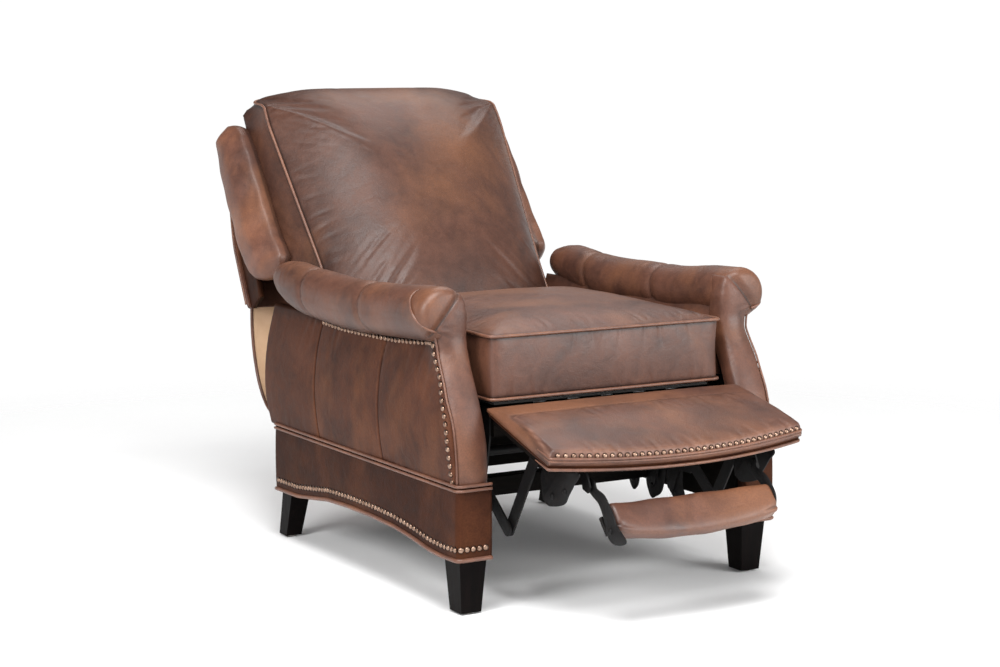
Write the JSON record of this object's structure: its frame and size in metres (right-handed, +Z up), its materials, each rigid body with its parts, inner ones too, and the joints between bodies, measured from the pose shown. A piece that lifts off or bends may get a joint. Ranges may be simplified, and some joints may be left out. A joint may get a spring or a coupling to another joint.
{
  "type": "recliner armchair",
  "caption": "Leather recliner armchair on four legs, with scroll arms, wings beside a back that reclines, and a footrest that swings out on links.",
  "frame": {"origin": "on the floor, under the middle of the chair's box as it stands at rest with the footrest half out", "axes": "+Z up, -Y towards the sitter's feet, +X to the sitter's left"},
  "size_m": [0.832, 1.4472, 1.0211],
  "materials": {
    "leather": "hand-rubbed brown leather, satin",
    "loose_leather": "brown leather with a tan suede back",
    "dark_wood": "espresso stained hardwood, satin",
    "frame_wood": "plain sawn hardwood and plywood",
    "black_steel": "black painted steel, satin",
    "spring_steel": "drawn wire",
    "deck_cloth": "black woven deck cloth",
    "webbing": "woven jute webbing",
    "nail_brass": "antique brass",
    "glide": "moulded nylon"
  },
  "bodies": {
    "base": {"front_leg_left": "dark_wood", "front_leg_right": "dark_wood", "rear_leg_left": "dark_wood", "rear_leg_right": "dark_wood", "leg_glides": "glide", "corner_blocks": "frame_wood", "side_rails": "frame_wood", "cross_rail": "black_steel", "rear_rail": "frame_wood", "rear_apron": "leather", "skirt_left": "leather", "skirt_right": "leather", "arm_core_left": "frame_wood", "arm_core_right": "frame_wood", "arm_outer_panel_left": "leather", "arm_outer_panel_right": "leather", "arm_inner_panel_left": "leather", "arm_inner_panel_right": "leather", "arm_front_panel_left": "leather", "arm_front_panel_right": "leather", "arm_roll_left": "leather", "arm_roll_right": "leather", "arm_nails": "nail_brass", "skirt_nails": "nail_brass", "slide_tracks": "black_steel", "back_pivot_brackets": "black_steel", "back_flap": "loose_leather"},
    "seat": {"seat_side_rails": "frame_wood", "seat_front_rail": "frame_wood", "seat_rear_rail": "frame_wood", "seat_springs": "spring_steel", "seat_deck": "deck_cloth", "seat_cushion": "leather", "linkage_plate_left": "black_steel", "linkage_plate_right": "black_steel"},
    "back": {"back_posts": "frame_wood", "back_top_rail": "frame_wood", "back_bottom_rail": "frame_wood", "back_webbing": "webbing", "back_cushion": "leather", "wing_left": "leather", "wing_right": "leather", "outside_back": "leather", "back_hinge_plate_left": "black_steel", "back_hinge_plate_right": "black_steel"},
    "drive_links": {"drive_link_left": "black_steel", "drive_link_right": "black_steel", "torque_tube": "black_steel"},
    "lift_links": {"lift_link_left": "black_steel", "lift_link_right": "black_steel"},
    "footrest": {"footrest_board": "frame_wood", "footrest_cover": "leather", "footrest_nails": "nail_brass", "board_brackets": "black_steel", "pad_brackets": "black_steel"},
    "footrest_pad": {"pad_cushion": "leather", "pad_bar": "black_steel", "pad_arm_left": "black_steel", "pad_arm_right": "black_steel"}
  },
  "joints": [
    {"name": "back_recline", "type": "hinge", "parent": "base", "child": "back", "pos_m": [0, 0.227, 0.46], "axis": [-1, 0, 0], "range_deg": [-13, 22], "deforming": ["back_flap"]},
    {"name": "seat_glide", "type": "slide", "parent": "base", "child": "seat", "axis": [0, -1, 0], "range_m": [-0.012, 0.02]},
    {"name": "footrest_drive", "type": "hinge", "parent": "seat", "child": "drive_links", "pos_m": [0, -0.268, 0.284], "axis": [1, 0, 0], "range_deg": [-4, 22]},
    {"name": "footrest_lift", "type": "hinge", "parent": "drive_links", "child": "lift_links", "pos_m": [0, -0.423, 0.158], "axis": [1, 0, 0], "range_deg": [-50, 8]},
    {"name": "footrest_extend", "type": "hinge", "parent": "lift_links", "child": "footrest", "pos_m": [0, -0.514, 0.312], "axis": [1, 0, 0], "range_deg": [-13, 100.55]},
    {"name": "footrest_pad_flip", "type": "hinge", "parent": "footrest", "child": "footrest_pad", "pos_m": [0, -0.623, 0.275], "axis": [1, 0, 0], "range_deg": [-20, 150]}
  ],
  "couplings": [
    {"joint": "seat_glide", "follows": "back_recline", "m_per_rad": 0.05},
    {"joint": "footrest_drive", "follows": "footrest_extend", "ratio": 0.20704},
    {"joint": "footrest_lift", "follows": "footrest_extend", "ratio": -0.48374},
    {"joint": "footrest_pad_flip", "follows": "footrest_extend", "ratio": 1.4719}
  ]
}
